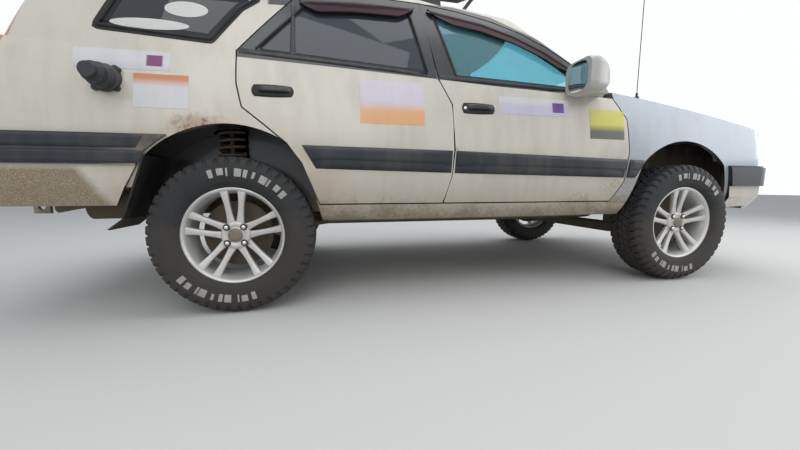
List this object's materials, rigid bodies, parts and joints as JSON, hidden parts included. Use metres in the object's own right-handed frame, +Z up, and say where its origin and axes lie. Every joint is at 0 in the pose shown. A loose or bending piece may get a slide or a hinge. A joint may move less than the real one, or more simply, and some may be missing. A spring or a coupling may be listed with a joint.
{
  "type": "rally estate car",
  "caption": "Small lifted four wheel drive estate car in rally trim, with all-terrain tyres, opening doors, bonnet and tailgate.",
  "frame": {"origin": "on the ground under the middle of the car's length and width", "axes": "+X towards the nose, +Y to the car's left, +Z up"},
  "size_m": [4.29, 1.9908, 2],
  "materials": {
    "body_paint": "worn gloss",
    "bumper_plastic": "satin",
    "dark_plastic": "matt",
    "window_glass": "gloss",
    "lamp_clear": "gloss",
    "lamp_red": "gloss",
    "rubber": "matt",
    "wheel_alloy": "dull",
    "chassis_steel": "dirty matt",
    "rack_steel": "satin",
    "seat_cloth": "woven"
  },
  "bodies": {
    "body_shell": {"aerial": "dark_plastic", "body_side_left": "body_paint", "body_side_right": "body_paint", "bulkhead": "body_paint", "dashboard": "dark_plastic", "engine_and_gearbox": "chassis_steel", "exhaust": "chassis_steel", "fixed_windows": "window_glass", "floor_pan": "body_paint", "front_bumper": "bumper_plastic", "front_frame": "chassis_steel", "front_seats": "seat_cloth", "front_wings": "body_paint", "fuel_tank": "chassis_steel", "grille": "dark_plastic", "headlamps": "lamp_clear", "mudflaps": "rubber", "prop_shaft": "chassis_steel", "rear_axle": "chassis_steel", "rear_bumper": "bumper_plastic", "rear_seat": "seat_cloth", "rear_springs": "chassis_steel", "roof": "body_paint", "roof_rack": "rack_steel", "side_vent": "dark_plastic", "tail_lamps": "lamp_red"},
    "door_front_right": {"door_front_right": "body_paint", "glass_front_right": "window_glass", "mirror_right": "body_paint"},
    "door_front_left": {"door_front_left": "body_paint", "glass_front_left": "window_glass", "mirror_left": "body_paint"},
    "door_rear_right": {"door_rear_right": "body_paint", "glass_rear_right": "window_glass"},
    "door_rear_left": {"door_rear_left": "body_paint", "glass_rear_left": "window_glass"},
    "tailgate": {"tailgate": "body_paint", "tailgate_glass": "window_glass"},
    "bonnet": {"bonnet": "body_paint"},
    "steering_wheel": {"steering_wheel": "dark_plastic"},
    "knuckle_right": {"knuckle_right": "chassis_steel"},
    "knuckle_left": {"knuckle_left": "chassis_steel"},
    "wheel_front_right": {"wheel_front_right": "wheel_alloy", "tyre_front_right": "rubber"},
    "wheel_front_left": {"wheel_front_left": "wheel_alloy", "tyre_front_left": "rubber"},
    "wheel_rear_right": {"wheel_rear_right": "wheel_alloy", "tyre_rear_right": "rubber"},
    "wheel_rear_left": {"wheel_rear_left": "wheel_alloy", "tyre_rear_left": "rubber"}
  },
  "joints": [
    {"name": "door_front_right_swing", "type": "hinge", "parent": "body_shell", "child": "door_front_right", "pos_m": [0.9, -0.853, 0.8], "axis": [0, 0, 1], "range_deg": [0, 65]},
    {"name": "door_front_left_swing", "type": "hinge", "parent": "body_shell", "child": "door_front_left", "pos_m": [0.9, 0.853, 0.8], "axis": [0, 0, -1], "range_deg": [0, 65]},
    {"name": "door_rear_right_swing", "type": "hinge", "parent": "body_shell", "child": "door_rear_right", "pos_m": [-0.137, -0.853, 0.8], "axis": [0, 0, 1], "range_deg": [0, 65]},
    {"name": "door_rear_left_swing", "type": "hinge", "parent": "body_shell", "child": "door_rear_left", "pos_m": [-0.137, 0.853, 0.8], "axis": [0, 0, -1], "range_deg": [0, 65]},
    {"name": "tailgate_lift", "type": "hinge", "parent": "body_shell", "child": "tailgate", "pos_m": [-1.79, 0, 1.538], "axis": [0, 1, 0], "range_deg": [0, 80]},
    {"name": "bonnet_lift", "type": "hinge", "parent": "body_shell", "child": "bonnet", "pos_m": [0.924, 0, 1.108], "axis": [0, -1, 0], "range_deg": [0, 55]},
    {"name": "steer_right", "type": "hinge", "parent": "body_shell", "child": "knuckle_right", "pos_m": [1.3175, -0.637, 0.348], "axis": [0, 0.2079, 0.9781], "range_deg": [-28, 28]},
    {"name": "steer_left", "type": "hinge", "parent": "body_shell", "child": "knuckle_left", "pos_m": [1.3175, 0.637, 0.348], "axis": [0, -0.2079, 0.9781], "range_deg": [-28, 28]},
    {"name": "steering_wheel_turn", "type": "hinge", "parent": "body_shell", "child": "steering_wheel", "pos_m": [0.47, -0.36, 0.952], "axis": [-0.9141, 0, 0.4054], "range_deg": [-420, 420]},
    {"name": "wheel_front_right_spin", "type": "hinge", "parent": "knuckle_right", "child": "wheel_front_right", "pos_m": [1.3175, -0.745, 0.348], "axis": [0, 1, 0], "continuous": true},
    {"name": "wheel_front_left_spin", "type": "hinge", "parent": "knuckle_left", "child": "wheel_front_left", "pos_m": [1.3175, 0.745, 0.348], "axis": [0, 1, 0], "continuous": true},
    {"name": "wheel_rear_right_spin", "type": "hinge", "parent": "body_shell", "child": "wheel_rear_right", "pos_m": [-1.1475, -0.745, 0.348], "axis": [0, 1, 0], "continuous": true},
    {"name": "wheel_rear_left_spin", "type": "hinge", "parent": "body_shell", "child": "wheel_rear_left", "pos_m": [-1.1475, 0.745, 0.348], "axis": [0, 1, 0], "continuous": true}
  ],
  "couplings": [
    {"joint": "steer_left", "follows": "steer_right", "ratio": 1},
    {"joint": "steering_wheel_turn", "follows": "steer_right", "ratio": 15}
  ]
}
